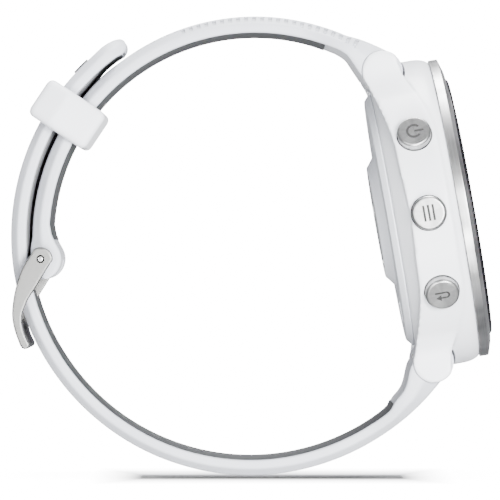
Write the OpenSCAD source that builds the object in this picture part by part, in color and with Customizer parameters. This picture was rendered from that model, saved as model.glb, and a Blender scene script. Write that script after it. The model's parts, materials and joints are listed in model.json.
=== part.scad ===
// Round sports watch on a buckled two-piece strap, standing on the strap.
// X runs from the buckle to the dial, Z is up, Y runs across the strap.

/* [Loop] */
// Outer radius of the buckled strap loop
loop_r = 37.2; // [37:0.1:37.4]
// How far the dial leans back from upright, in degrees
dial_tilt = 10; // [9.5:0.1:10.5]
// Distance from the loop centre to the back plane of the bezel
bezel_reach = 32.24; // [32.1:0.02:32.4]
// Offset of the dial axis towards six o'clock
dial_drop = 1.3; // [1.2:0.05:1.4]

/* [Case] */
// Largest radius of the case body
case_r = 24.3; // [24.2:0.05:24.5]
// Outer radius of the bezel
bezel_r = 23.55; // [23.4:0.05:23.8]
// Height of the bezel in front of the case
bezel_h = 2.1; // [2:0.05:2.3]
// Depth of the case body behind the bezel
case_h = 9.85; // [9.8:0.05:9.9]
// Radius of the hollow in the case
hollow_r = 18.2; // [18:0.1:18.3]
// Radius of the shallow front hollow that holds the display
front_hollow_r = 20.9; // [20.7:0.1:21]

/* [Lugs] */
// Distance from the dial axis to a spring bar
lug_reach = 22.9; // [22.8:0.05:23]
// Depth of a spring bar behind the bezel
lug_depth = 7.6; // [7.5:0.05:7.7]
// Radius of a lug's rounded end
lug_r = 3.2; // [3.1:0.05:3.3]
// Clear width between a pair of lugs
lug_gap = 22; // [21.8:0.1:22.2]
// Width across a pair of lugs
lug_span = 27; // [26.6:0.1:27.4]

/* [Buttons] */
// Angle between neighbouring buttons on one side
button_pitch = 30; // [29:0.5:31]
// Depth of the button row behind the bezel
button_depth = 4.7; // [4.6:0.05:4.8]
// Radius of a button's head
button_r = 2.45; // [2.4:0.05:2.5]
// How far a button stands out of the case
button_out = 1.3; // [1.2:0.05:1.4]
// How far a button can be pressed
button_travel = 0.45; // [0.4:0.05:0.5]

/* [Strap] */
// Thickness of the strap without its liner
strap_t = 2.6; // [2.5:0.05:2.6]
// Thickness of the dark inner liner
liner_t = 0.3; // [0.25:0.05:0.3]
// Width of the strap at the case
strap_w = 22; // [21.8:0.1:22]
// Width of the strap's tail
tail_w = 20; // [19.6:0.1:20]
// Distance between neighbouring strap holes
hole_pitch = 6.5; // [6.4:0.1:6.6]

/* [Buckle] */
// Width across the buckle
buckle_w = 26; // [25.8:0.1:26.4]
// Radius of the buckle pin
pin_r = 0.6; // [0.55:0.05:0.65]
// How far the buckle lifts while it is fastened, in degrees
buckle_lift = 8; // [6:1:8]
// Angle round the loop at which the keeper sits
keeper_angle = 146.3; // [145:0.5:147]

/* [Hidden] */
$fn = 96;

e = 0.01;
lens_r = 20.3;
lens_rim = 0.35;
lens_front = 2.5;
loop_y = button_out / 2;             // the three buttons on the near side reach further out
lug_half = lug_gap / 2;
wall_floor = case_r - 2.7;           // bottom of a button's recess, from the dial axis
button_face = case_r + button_out;
light_angle = 180 - button_pitch;
menu_angle = 180;
down_angle = 180 + button_pitch;
start_angle = button_pitch;
lap_angle = -button_pitch;
button_angles = [light_angle, menu_angle, down_angle, start_angle, lap_angle];

// Where a point of the dial's side view lies in the loop's plane
function dial_point(back, up) = [
    (bezel_reach - back) * cos(dial_tilt) - (up - dial_drop) * sin(dial_tilt),
    (bezel_reach - back) * sin(dial_tilt) + (up - dial_drop) * cos(dial_tilt)];
function polar(r, a) = [r * cos(a), r * sin(a)];
function arc(r, a0, a1, n = 8, centre = [0, 0]) =
    [for (i = [0:n]) centre + polar(r, a0 + (a1 - a0) * i / n)];
loop_x = (loop_r - dial_point(-lens_front, lens_rim - lens_r)[0]) / 2;
upper_bar = dial_point(lug_depth, lug_reach);
lower_bar = dial_point(lug_depth, -lug_reach);
pin_at = [-32.45, -3.57];

// Buckled upper strap half: an arc whose centre sits a little off the loop centre
upper_centre = [0.8, -0.4];
upper_r = 34.55;
upper_from = 66;
upper_to = 182;
lower_from = 128.5;
lower_to = 311;
taper_angle = 252;                   // where the strap starts to narrow towards its tail
taper_steps = 4;
slot_angle = 195;
bar_r = 0.9;
bar_tip_r = 0.45;
tongue_dir = 237.3;                  // direction of the tongue in the loop's plane
tongue_room_w = 4.4;

// The buckle arm's centre line in the loop's plane: x, y and the arm's width
arm_path = [[-33.2, -4.6, 3.7], [-33.9, -6.1, 3.5], [-34.8, -8.1, 3.0], [-35.5, -9.8, 2.4],
    [-35.9, -11.1, 1.9], [-36.1, -12.5, 1.5], [-36.0, -13.8, 1.45], [-35.7, -15.1, 1.4],
    [-35.2, -16.4, 1.5], [-34.8, -17.4, 1.5]];

// Places children drawn in the dial's frame: X to three o'clock, Y to twelve, Z to the front
module on_dial()
    translate([loop_x, loop_y, loop_r]) rotate([0, -dial_tilt, 0])
        translate([bezel_reach, 0, -dial_drop]) rotate([90, 0, 90]) children();

// Places children drawn in the loop's plane, with their Z across the strap
module on_loop()
    translate([loop_x, loop_y, loop_r]) rotate([90, 0, 0]) children();

// Extrudes the children across the strap, centred
module across(w) linear_extrude(height = w, center = true) children();

// Extrudes the dial's side view (X back to front, Y towards twelve) from y0 to y1
module dial_side(y0, y1)
    rotate([0, -90, 0]) translate([0, 0, -y1]) linear_extrude(height = y1 - y0) children();

module ring(outer, inner, z0, z1)
    translate([0, 0, z0]) difference() {
        cylinder(r = outer, h = z1 - z0);
        translate([0, 0, -1]) cylinder(r = inner, h = z1 - z0 + 2);
    }

module disc(r, z0, z1) translate([0, 0, z0]) cylinder(r = r, h = z1 - z0);

// A radial cylinder on a button's axis, from radius r0 to r1
module button_rod(angle, r, r0, r1)
    rotate([0, 0, angle]) translate([r0, 0, -button_depth]) rotate([0, 90, 0])
        cylinder(r = r, h = r1 - r0, $fn = 48);

/* ---- case ---- */
screw_angles = [45, 135, 225, 315];
screw_reach = 16.6;
boss_r = 1.75;
screw_r = 0.7;
front_floor = -3.2;                  // bottom of the shallow front hollow

module lug_outline() {
    translate([-lug_depth, lug_reach]) circle(r = lug_r);
    polygon([[-1.5, 13.5], [-2, 15.4], [-2.75, 17.5], [-3.8, 20], [-4.85, 22.1],
        [-lug_depth + lug_r * cos(45), lug_reach + lug_r * sin(45)], [-lug_depth, lug_reach],
        [-lug_depth - lug_r * cos(15), lug_reach - lug_r * sin(15)],
        [-9.95, 19.8], [-8.8, 15.7], [-8.1, 13.5]]);
}

module lug_pair()
    for (side = [0, 1]) mirror([side, 0, 0])
        intersection() {
            dial_side(lug_half, lug_span / 2) lug_outline();
            difference() {
                translate([0, 0, -15]) cylinder(r = 40, h = 20);
                translate([0, 0, -16]) cylinder(r = hollow_r + 1, h = 22);
            }
        }

module case()
    color("white") on_dial() difference() {
        union() {
            rotate_extrude() polygon([[14, 0], [23.5, 0], [24, -1.3], [case_r, -3],
                [case_r, -6.9], [23.5, -7.7], [20.1, -case_h], [14, -case_h]]);
            lug_pair();
            mirror([0, 1, 0]) lug_pair();
        }
        difference() {
            disc(hollow_r, -case_h - 1, 1);
            // Bosses for the back screws stay in the hollow
            for (a = screw_angles) rotate([0, 0, a]) translate([screw_reach, 0, 0])
                disc(boss_r, -9.28, -6);
        }
        for (a = screw_angles) rotate([0, 0, a]) translate([screw_reach, 0, 0])
            disc(screw_r + 0.02, -9.5, -6.5);
        disc(front_hollow_r, front_floor, 1);
        for (side = [0, 1]) mirror([0, side, 0]) {
            // Hollow for the strap's end, and a blind hole in each lug for the spring bar
            translate([0, lug_reach, -lug_depth]) rotate([0, 90, 0])
                cylinder(r = lug_r + 0.4, h = lug_gap, center = true);
            translate([0, lug_reach, -lug_depth]) rotate([0, 90, 0])
                cylinder(r = bar_tip_r + 0.05, h = lug_gap + 2.4, center = true, $fn = 32);
        }
        for (a = button_angles) {
            button_rod(a, button_r + 0.4, wall_floor, case_r + 2);
            button_rod(a, 1.85, wall_floor - 1.6, wall_floor - 0.5);
            button_rod(a, 0.87, hollow_r - 2, case_r);
        }
    }

/* ---- front ---- */
module bezel()
    color("silver") on_dial() rotate_extrude() polygon([[lens_r - 0.9, 0], [bezel_r, 0],
        [bezel_r, 1.37], [21.6, bezel_h], [lens_r + 0.1, bezel_h], [lens_r + 0.1, 0.3],
        [lens_r - 0.9, 0.3]]);

module lens()
    color("dimgray") on_dial() rotate_extrude() polygon([[0, 0.6], [lens_r, 0.6], [lens_r, 2.15],
        [lens_r - lens_rim, lens_front], [0, lens_front + 0.1]]);

module lens_gasket() color("black") on_dial() ring(lens_r, lens_r - 0.9, 0.3, 0.6);

module display_panel()
    color("black") on_dial() {
        disc(18.3, -0.9, 0.6 - e);
        translate([-6, -19.2, -0.9]) cube([12, 2.4, 0.8]);
    }

module display_flex()
    color("darkorange") on_dial() {
        translate([-4, -17.6, -1.2]) cube([8, 6, 0.3]);
        translate([-4, -17.6, -3.6]) cube([8, 0.3, 2.4 + e]);
        translate([-4, -17.6, -3.6]) cube([8, 3.2, 0.3]);
    }

/* ---- inside ---- */
module chassis()
    color("dimgray") on_dial() difference() {
        union() {
            ring(17.6, 16.8, -8.9, -3.1);
            ring(20, 15.6, front_floor + e, -2.4);
        }
        for (a = button_angles) rotate([0, 0, a]) translate([15, -2.6, -7])
            cube([4, 5.2, 3.8]);
        for (a = screw_angles) rotate([0, 0, a]) translate([screw_reach, 0, -10])
            cylinder(r = boss_r + 0.15, h = 4.2);
        translate([-4.3, -21, -4]) cube([8.6, 8, 3]);
    }

board_top = -3.9;
module main_board()
    color("darkgreen") on_dial() difference() {
        disc(16.6, -4.6, board_top);
        for (a = button_angles) rotate([0, 0, a]) translate([15.2, -2, -5]) cube([4, 4, 2]);
    }

// Each chip: left, bottom, width, depth and height
chips = [[-4.5, 1, 9, 9, 1], [6.5, 2, 5.5, 5, 0.9], [-11.5, 2.5, 5, 4, 0.9], [-6, -7.5, 3, 2.4, 0.8],
    [1.5, -8, 4.2, 3.6, 1], [8, -5.5, 2.5, 2.5, 0.9], [-4, -16.4, 8, 2, 0.28]];
module board_chips()
    color("black") on_dial() for (c = chips)
        translate([c[0], c[1], board_top + e]) cube([c[2], c[3], c[4]]);

module gps_antenna()
    color("goldenrod") on_dial() rotate([0, 0, 25])
        translate([0, 0, -2.4 + e]) rotate_extrude(angle = 130)
            translate([18.2, 0]) square([1.6, 0.5]);

module battery()
    color("gray") on_dial() translate([-11.5, -8.4, -8.7]) cube([19, 17.5, 3.9]);

module vibration_motor()
    color("silver") on_dial() translate([11.7, 0, -8.7]) cylinder(r = 4, h = 2.7, $fn = 48);

/* ---- back ---- */
back_z = -10.94;
window_z = -12.39;                   // the sensor window's outer face, the rearmost point
cover_screw_r = 0.75;
head_room_r = 1.35;
contact_pitch = 1.8;
contact_y = -14.6;

module back_cover()
    color("lightgray") on_dial() difference() {
        union() {
            rotate_extrude() polygon([[0, -case_h], [20, -case_h], [20, -9.95], [19, back_z],
                [0, back_z]]);
            disc(17.3, -case_h - e, -9.3);
            // Raised ring that carries the sensor window
            rotate_extrude() polygon([[0, back_z + 0.2], [10.5, back_z + 0.2], [10.5, back_z],
                [8.95, -12.2], [8.75, window_z], [0, window_z]]);
        }
        disc(7.9, -13, -11.6);
        disc(7.3, -13, -9);
        for (a = screw_angles) rotate([0, 0, a]) translate([screw_reach, 0, -12]) {
            cylinder(r = cover_screw_r, h = 4, $fn = 32);
            cylinder(r = head_room_r, h = 1.75, $fn = 32);
        }
        translate([-4.2, -16.3, -12]) cube([8.4, 3.4, 1.6]);
        for (i = [0:3]) translate([(i - 1.5) * contact_pitch, contact_y, -12])
            cylinder(r = 0.55, h = 4, $fn = 32);
    }

module back_gasket() color("black") on_dial() ring(18.15, 17.35, -9.8, -9.35);

module back_screws()
    color("silver") on_dial() for (a = screw_angles)
        rotate([0, 0, a]) translate([screw_reach, 0, 0]) difference() {
            union() {
                disc(1.25, -10.9, -10.25 - e);
                disc(screw_r, -10.25 - 2 * e, -6.9);
            }
            translate([0, 0, -11.2]) cylinder(r = 0.55, h = 0.7, $fn = 6);
        }

module sensor_window() color("black") on_dial() disc(7.85, window_z, -11.6 - e);

module sensor_board()
    color("darkgreen") on_dial() disc(7.1, -10.4, -9.6);

module sensor_lights()
    color("gold") on_dial() {
        for (a = [0:60:300]) rotate([0, 0, a]) translate([4.2, -0.8, -11.2])
            cube([1.6, 1.6, 0.8 - e]);
        translate([-1.2, -1.2, -11.2]) cube([2.4, 2.4, 0.8 - e]);
    }

module charging_contacts()
    color("gold") on_dial() for (i = [0:3])
        translate([(i - 1.5) * contact_pitch, contact_y, -10.6]) cylinder(r = 0.5, h = 1.9, $fn = 32);

/* ---- buttons ---- */
module button_bushings()
    color("silver") on_dial() for (a = button_angles) difference() {
        button_rod(a, button_r + 0.38, wall_floor + e, case_r + 0.3);
        button_rod(a, button_r + 0.05, wall_floor - 1, case_r + 2);
    }

module button_seals()
    color("black") on_dial() for (a = button_angles)
        rotate([0, 0, a]) translate([wall_floor - 1.05, 0, -button_depth]) rotate([0, 90, 0])
            rotate_extrude($fn = 48) translate([1.34, 0]) circle(r = 0.48, $fn = 24);

module button_switches()
    color("gray") on_dial() for (a = button_angles)
        rotate([0, 0, a]) {
            translate([15.5, -1.7, -6.3]) cube([0.9, 3.4, 2.8]);
            translate([16.4 - e, 0, -button_depth]) rotate([0, 90, 0])
                cylinder(r = 0.7, h = 0.3, $fn = 32);
        }

// A pressed metal head on a stem that runs through the case wall
module button(angle)
    color("silver") on_dial() rotate([0, 0, angle]) translate([0, 0, -button_depth])
        rotate([0, 90, 0]) difference() {
            rotate_extrude($fn = 48) polygon([[0, 17.25], [0.8, 17.25],
                [0.8, wall_floor + 2 * button_travel], [button_r, wall_floor + 2 * button_travel],
                [button_r, button_face - 0.35], [button_r - 0.25, button_face],
                [0, button_face]]);
            rotate_extrude($fn = 48) polygon([[0.6, 17.7], [1.2, 17.7], [1.2, 18], [0.6, 18]]);
        }

// The retaining clip in the groove at the stem's inner end
module button_clip(angle)
    color("gray") on_dial() difference() {
        button_rod(angle, 1.4, 17.72, 17.98);
        button_rod(angle, 0.6, 17, 19);
        rotate([0, 0, angle]) translate([17, -0.5, -button_depth - 2]) cube([2, 1, 2]);
    }

module light_button() button(light_angle);
module light_button_clip() button_clip(light_angle);
module menu_button() button(menu_angle);
module menu_button_clip() button_clip(menu_angle);
module down_button() button(down_angle);
module down_button_clip() button_clip(down_angle);
module start_button() button(start_angle);
module start_button_clip() button_clip(start_angle);
module lap_button() button(lap_angle);
module lap_button_clip() button_clip(lap_angle);

/* ---- strap ---- */
// A band of the strap, revolved about a centre, with its outer edges bevelled
module band(r_out, t, w, a0, a1, bevel = 0)
    rotate([0, 0, a0]) rotate_extrude(angle = a1 - a0, $fn = 180)
        polygon([[r_out - t, -w / 2], [r_out - bevel, -w / 2], [r_out, -w / 2 + bevel],
            [r_out, w / 2 - bevel], [r_out - bevel, w / 2], [r_out - t, w / 2]]);

// The round end that turns on a spring bar between the lugs
module strap_knuckle(bar)
    translate(bar) difference() {
        cylinder(r = lug_r, h = lug_gap - 0.3, center = true);
        cylinder(r = bar_r + 0.02, h = 40, center = true, $fn = 48);
    }

// Room for the lugs on both sides of a knuckle, and for the release lever
module lug_room(bar, lever_dir) {
    for (s = [-1, 1]) translate([bar[0], bar[1], s * (lug_half + 4.85)])
        cylinder(r = lug_r + 0.25, h = 10, center = true);
    translate(bar) cylinder(r = bar_r + 0.02, h = 40, center = true, $fn = 48);
    translate(bar) rotate([0, 0, lever_dir]) translate([0, -0.6, 4.6]) cube([5, 1.2, 4.2]);
}

// Cuts both edges of the strap along a stretch, from half width h0 at its start to h1
module edge_trim(angle, len, h0, h1)
    for (s = [0, 1]) mirror([0, 0, s]) rotate([0, 0, angle]) translate([28, 0, 0])
        rotate([90, 0, 90]) linear_extrude(height = 12) polygon([[0, h0], [len, h1],
            [len, 16], [0, 16]]);

module upper_end_outline()
    polygon(concat([upper_centre + polar(upper_r, upper_from)],
        [[17.3, 30.45], [19.8, 29.42], [21.6, 28.55], upper_bar, [18.3, 23.25], [17.1, 25],
        [16.1, 26.5], [15.2, 27.6]],
        [upper_centre + polar(upper_r - strap_t, upper_from)]));

module buckle_end_outline()
    polygon([[-33.2, 4], [-31.1, 4.2], [-31.1, 2.2], [-30.8, 0.4], [-30.3, -0.8], [-29.55, -2.2],
        [-32, -4], [-33.3, -3]]);

module lower_end_outline()
    polygon(concat(arc(loop_r, lower_to, 325, 6), [lower_bar, [25.3, -19.7], [24.7, -21.2],
        [24.35, -22.8], [23.75, -24.2]], [polar(loop_r - strap_t, lower_to)]));

module upper_strap()
    color("white") on_loop() difference() {
        union() {
            translate(upper_centre) band(upper_r, strap_t, strap_w, upper_from, upper_to, 0.8);
            across(lug_span - 0.4) upper_end_outline();
            strap_knuckle(upper_bar);
            // Round end about the buckle pin, flattened where the tail passes
            across(strap_w) buckle_end_outline();
            difference() {
                translate(pin_at) cylinder(r = 3.2, h = strap_w, center = true);
                rotate_extrude($fn = 180) polygon([[33.75, -10.25], [50, -10.25], [50, 10.25],
                    [33.75, 10.25]]);
            }
        }
        lug_room(upper_bar, upper_lever_dir);
        edge_trim(upper_from - 0.2, -9, strap_w / 2, lug_span / 2);
        translate(pin_at) cylinder(r = pin_r + 0.02, h = 40, center = true, $fn = 48);
        // Room for the tongue at the middle of the end, right through the strap
        translate(pin_at) rotate([0, 0, tongue_dir]) across(tongue_room_w)
            polygon([[-2, -4], [6.4, -4.6], [6.4, 4.8], [-2, 4]]);
    }

module upper_strap_liner()
    color("slategray") on_loop()
        translate(upper_centre) band(upper_r - strap_t - e, liner_t, strap_w, 68.5, 171);

// Oblong strap hole of the given length, cut along the loop's radius
module strap_hole(angle, len = 3.4, w = 2.3)
    rotate([0, 0, angle]) translate([30, 0, 0]) rotate([0, 90, 0]) {
        for (s = [-1, 1]) translate([0, s * (len - w) / 2, 0]) cylinder(r = w / 2, h = 12, $fn = 32);
        translate([-w / 2, -(len - w) / 2, 0]) cube([w, len - w, 12]);
    }

hole_step = hole_pitch / loop_r * 180 / PI;
hole_angles = [for (i = [-5:6]) if (i != 0) slot_angle + i * hole_step];

module tongue_slot()
    translate(pin_at) for (lift = [0, -4, -buckle_lift]) rotate([0, 0, lift])
        rotate([0, 0, tongue_dir]) translate([1.5, 0.2, -1.3]) cube([12, 2.65, 2.6]);

// Cuts the strap's edges down to the tail's width in a few steps
module tail_trim()
    for (k = [1:taper_steps], s = [-1, 1]) {
        half = strap_w / 2 - (strap_w - tail_w) / 2 * k / taper_steps;
        rotate([0, 0, 110]) rotate_extrude(angle = taper_angle - 110 - 6 * k)
            translate([30, s > 0 ? half : -half - 5]) square([10, 5]);
    }

module lower_strap()
    color("white") on_loop() difference() {
        union() {
            band(loop_r, strap_t, strap_w, lower_from, lower_to, 0.8);
            across(lug_span - 0.4) lower_end_outline();
            strap_knuckle(lower_bar);
            across(tail_w) polygon([polar(34.7, lower_from + 0.6), polar(37.1, lower_from + 0.6),
                polar(37.2, lower_from), polar(37.4, 127.8), polar(37.2, 125.4),
                polar(36.8, 123.2), polar(35.8, 122.5), polar(35, 123.4), polar(34.6, 126.5),
                polar(34.7, lower_from)]);
        }
        lug_room(lower_bar, lower_lever_dir);
        edge_trim(lower_to + 0.2, 9, strap_w / 2, lug_span / 2);
        tail_trim();
        for (a = hole_angles) strap_hole(a);
        tongue_slot();
    }

module lower_strap_liner()
    color("slategray") on_loop() difference() {
        band(loop_r - strap_t - e, liner_t, strap_w, 130, 309);
        tail_trim();
        for (a = hole_angles) strap_hole(a);
        tongue_slot();
    }

module tail_plate()
    color("dimgray") on_loop() band(loop_r + 0.2, 0.2 - e, 10, 132.7, 137);

/* ---- spring bars ---- */
lever_at = 6.9;                      // the release lever's place along the bar
lever_w = 0.9;
release_travel = 1.2;                // how far the lever slides

// A tube with a fixed tip at one end, and a slot near the other for the release lever
module spring_bar(bar, lever_dir)
    color("silver") on_loop() translate(bar) {
        difference() {
            cylinder(r = bar_r, h = lug_gap - 0.6, center = true, $fn = 48);
            translate([0, 0, 2]) cylinder(r = bar_tip_r + 0.1, h = 12, $fn = 48);
            rotate([0, 0, lever_dir]) translate([0, -0.42, lever_at - release_travel - 0.3])
                cube([3, 0.84, lever_w + release_travel + 0.6]);
        }
        translate([0, 0, -lug_half - 0.8]) cylinder(r = bar_tip_r, h = 1.2, $fn = 32);
    }

// Sliding tip of a quick-release bar, with the lever that draws it back
module release_pin(bar, lever_dir)
    color("silver") on_loop() translate(bar) {
        translate([0, 0, 5.4]) cylinder(r = bar_tip_r, h = lug_half + 0.8 - 5.4, $fn = 32);
        rotate([0, 0, lever_dir]) translate([0, -0.35, lever_at]) cube([3.4, 0.7, lever_w]);
    }

upper_lever_dir = 225;
lower_lever_dir = 165;
module upper_spring_bar() spring_bar(upper_bar, upper_lever_dir);
module lower_spring_bar() spring_bar(lower_bar, lower_lever_dir);
module upper_release_pin() release_pin(upper_bar, upper_lever_dir);
module lower_release_pin() release_pin(lower_bar, lower_lever_dir);

/* ---- buckle ---- */
function side_point(p, i, s) =
    let (a = p[max(i - 1, 0)], b = p[min(i + 1, len(p) - 1)], d = [b[0] - a[0], b[1] - a[1]])
    [p[i][0], p[i][1]] + s * p[i][2] / 2 * [-d[1], d[0]] / norm(d);

module arm_outline(first = 0)
    polygon(concat([for (i = [first:len(arm_path) - 1]) side_point(arm_path, i, 1)],
        [for (i = [len(arm_path) - 1:-1:first]) side_point(arm_path, i, -1)]));

module buckle_pin()
    color("silver") on_loop() translate(pin_at) cylinder(r = pin_r, h = buckle_w, center = true,
        $fn = 48);

module buckle_frame()
    color("darkgray") on_loop() difference() {
        union() {
            for (s = [0, 1]) mirror([0, 0, s]) translate([0, 0, strap_w / 2 + 0.2])
                linear_extrude(height = buckle_w / 2 - strap_w / 2 - 0.2) {
                    arm_outline();
                    translate(pin_at) circle(r = 1.85);
                }
            across(buckle_w - 1) arm_outline(6);
        }
        translate(pin_at) cylinder(r = pin_r + 0.05, h = 40, center = true, $fn = 48);
        // Notch that the tongue's tip rests in
        translate(pin_at) rotate([0, 0, tongue_dir]) translate([9, -1, -1.3]) cube([5, 3.8, 2.6]);
    }

module buckle_tongue()
    color("darkgray") on_loop() difference() {
        union() {
            translate(pin_at) cylinder(r = 1.4, h = 3.8, center = true, $fn = 48);
            translate(pin_at) rotate([0, 0, tongue_dir]) across(2) polygon([[0.6, -1], [2.2, 0.5],
                [8.8, 0.5], [10.4, 1.1], [11.2, 1.6], [11.7, 2.2], [11.6, 2.5], [11, 2.6],
                [1.4, 2.5], [-0.6, 1.2]]);
        }
        translate(pin_at) cylinder(r = pin_r + 0.05, h = 40, center = true, $fn = 48);
    }

/* ---- keeper ---- */
keeper_len = 6.6;
keeper_low = 28.7;                   // reach of the keeper from the loop centre
keeper_high = 39.4;
keeper_half = 13;
keeper_corner = 1.8;
window_low = 30.4;
window_high = 37.7;

// Outline of the keeper, with its corners made of true circles
module keeper_outline() {
    translate([keeper_low + keeper_corner, -keeper_half])
        square([keeper_high - keeper_low - 2 * keeper_corner, 2 * keeper_half]);
    translate([keeper_low, -keeper_half + keeper_corner])
        square([keeper_high - keeper_low, 2 * (keeper_half - keeper_corner)]);
    for (x = [keeper_low + keeper_corner, keeper_high - keeper_corner], side = [-1, 1])
        translate([x, side * (keeper_half - keeper_corner)]) circle(r = keeper_corner, $fn = 32);
}

module keeper()
    color("white") on_loop() rotate([0, 0, keeper_angle]) rotate([90, 0, 0]) difference() {
        across(keeper_len) keeper_outline();
        translate([window_low, -strap_w / 2 - 0.35, -10])
            cube([window_high - window_low, strap_w + 0.7, 20]);
    }

case();
bezel();
lens();
lens_gasket();
display_panel();
display_flex();
chassis();
main_board();
board_chips();
gps_antenna();
battery();
vibration_motor();
back_gasket();
back_cover();
back_screws();
sensor_board();
sensor_lights();
sensor_window();
charging_contacts();
button_bushings();
button_seals();
button_switches();
light_button();
light_button_clip();
menu_button();
menu_button_clip();
down_button();
down_button_clip();
start_button();
start_button_clip();
lap_button();
lap_button_clip();
upper_strap();
upper_strap_liner();
lower_strap();
lower_strap_liner();
tail_plate();
upper_spring_bar();
lower_spring_bar();
upper_release_pin();
lower_release_pin();
buckle_pin();
buckle_frame();
buckle_tongue();
keeper();
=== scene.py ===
import json
from math import atan2, cos, degrees, hypot, pi, radians, sin, sqrt

import bmesh
import bpy
from mathutils import Matrix, Vector


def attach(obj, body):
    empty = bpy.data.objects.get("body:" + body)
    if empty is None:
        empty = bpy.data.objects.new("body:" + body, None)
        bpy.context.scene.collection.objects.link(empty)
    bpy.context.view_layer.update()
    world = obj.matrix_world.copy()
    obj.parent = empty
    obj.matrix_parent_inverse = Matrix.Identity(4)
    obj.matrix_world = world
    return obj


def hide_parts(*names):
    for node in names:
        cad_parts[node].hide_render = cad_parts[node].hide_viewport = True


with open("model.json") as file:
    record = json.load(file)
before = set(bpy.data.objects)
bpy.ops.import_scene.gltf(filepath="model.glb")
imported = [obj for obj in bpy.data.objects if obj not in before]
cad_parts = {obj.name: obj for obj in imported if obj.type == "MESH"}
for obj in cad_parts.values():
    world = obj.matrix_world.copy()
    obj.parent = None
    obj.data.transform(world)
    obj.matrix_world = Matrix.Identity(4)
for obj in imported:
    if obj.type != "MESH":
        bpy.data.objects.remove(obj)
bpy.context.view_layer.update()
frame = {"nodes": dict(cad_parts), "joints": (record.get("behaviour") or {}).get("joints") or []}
joints = {joint["name"]: joint for joint in frame["joints"]}
print("frame loaded:", len(frame["nodes"]), "nodes")

# ---- places ----
# Pieces are drawn in millimetres in a frame of their own, then placed once
loopCentre = Vector(joints["keeper_slide"]["pos_m"])
pinCentre = (Vector(joints["buckle_hinge"]["pos_m"]) - loopCentre) * 1000
pinX, pinY = pinCentre.x, pinCentre.z
dial = {"tilt": 10, "reach": 32.24, "drop": 1.3}
tilt = radians(dial["tilt"])
towardsFront = Vector((cos(tilt), 0, sin(tilt)))
towardsTwelve = Vector((-sin(tilt), 0, cos(tilt)))
millimetres = Matrix.Scale(0.001, 4)


def axesPlace(origin, xAxis, yAxis, zAxis):
    place = Matrix((xAxis, yAxis, zAxis)).transposed().to_4x4()
    place.translation = origin
    return place


loopPlace = axesPlace(loopCentre, (1, 0, 0), (0, 0, 1), (0, -1, 0)) @ millimetres
dialOrigin = loopCentre + (towardsFront * dial["reach"] - towardsTwelve * dial["drop"]) * 0.001
dialPlace = axesPlace(dialOrigin, (0, 1, 0), towardsTwelve, towardsFront) @ millimetres


def dialPoint(back, up):  # from the dial's side view to the loop's plane
    return ((dial["reach"] - back) * cos(tilt) - (up - dial["drop"]) * sin(tilt),
            (dial["reach"] - back) * sin(tilt) + (up - dial["drop"]) * cos(tilt))


def buttonPlace(angle, depth):  # X to the dial's front, Z outwards from the dial's axis
    turn = radians(angle)
    return dialPlace @ axesPlace((0, 0, -depth), (0, 0, 1), (sin(turn), -cos(turn), 0),
                                 (cos(turn), sin(turn), 0))


# ---- shapes ----
def asObject(bm, name="work"):
    mesh = bpy.data.meshes.new(name)
    bm.to_mesh(mesh)
    bm.free()
    made = bpy.data.objects.new(name, mesh)
    bpy.context.scene.collection.objects.link(made)
    return made


def applied(bm, kind, **settings):  # a modifier, applied at once
    work = asObject(bm)
    modifier = work.modifiers.new(kind, kind)
    for key, value in settings.items():
        setattr(modifier, key, value)
    result = bmesh.new()
    result.from_object(work, bpy.context.evaluated_depsgraph_get())
    bpy.data.meshes.remove(work.data)
    return result


def combine(bm, tool, operation="DIFFERENCE"):
    toolObject = asObject(tool, "tool")
    result = applied(bm, "BOOLEAN", operation=operation, object=toolObject, solver="EXACT")
    bpy.data.meshes.remove(toolObject.data)
    bmesh.ops.remove_doubles(result, verts=result.verts, dist=0.0005)
    return result


def together(*parts):  # several separate shapes in one mesh
    result = bmesh.new()
    for part in parts:
        mesh = bpy.data.meshes.new("part")
        part.to_mesh(mesh)
        part.free()
        result.from_mesh(mesh)
        bpy.data.meshes.remove(mesh)
    return result


def moved(bm, matrix):
    bmesh.ops.transform(bm, matrix=matrix, verts=bm.verts)
    return bm


def eased(points, radius, steps=3, closed=True):  # rounds the corners of an outline
    result = []
    count = len(points)
    for i, point in enumerate(points):
        if not closed and i in (0, count - 1):
            result.append(point)
            continue
        here = Vector(point)
        before, after = Vector(points[i - 1]) - here, Vector(points[(i + 1) % count]) - here
        start = here + before.normalized() * min(radius, before.length * 0.45)
        end = here + after.normalized() * min(radius, after.length * 0.45)
        for k in range(steps + 1):
            t = k / steps
            spot = start * (1 - t) ** 2 + here * 2 * t * (1 - t) + end * t ** 2
            result.append(tuple(spot))
    return result


def flowing(points, steps=5):  # a smooth curve through the points
    result = []
    for i in range(len(points) - 1):
        a, b = Vector(points[max(i - 1, 0)]), Vector(points[i])
        c, d = Vector(points[i + 1]), Vector(points[min(i + 2, len(points) - 1)])
        for k in range(steps):
            t = k / steps
            result.append(tuple(0.5 * (2 * b + (c - a) * t + (2 * a - 5 * b + 4 * c - d) * t ** 2
                                       + (3 * b - a - 3 * c + d) * t ** 3)))
    return result + [tuple(points[-1])]


def roundArc(centre, radius, start, end, steps=10):
    return [(centre[0] + radius * cos(radians(start + (end - start) * k / steps)),
             centre[1] + radius * sin(radians(start + (end - start) * k / steps)))
            for k in range(steps + 1)]


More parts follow.
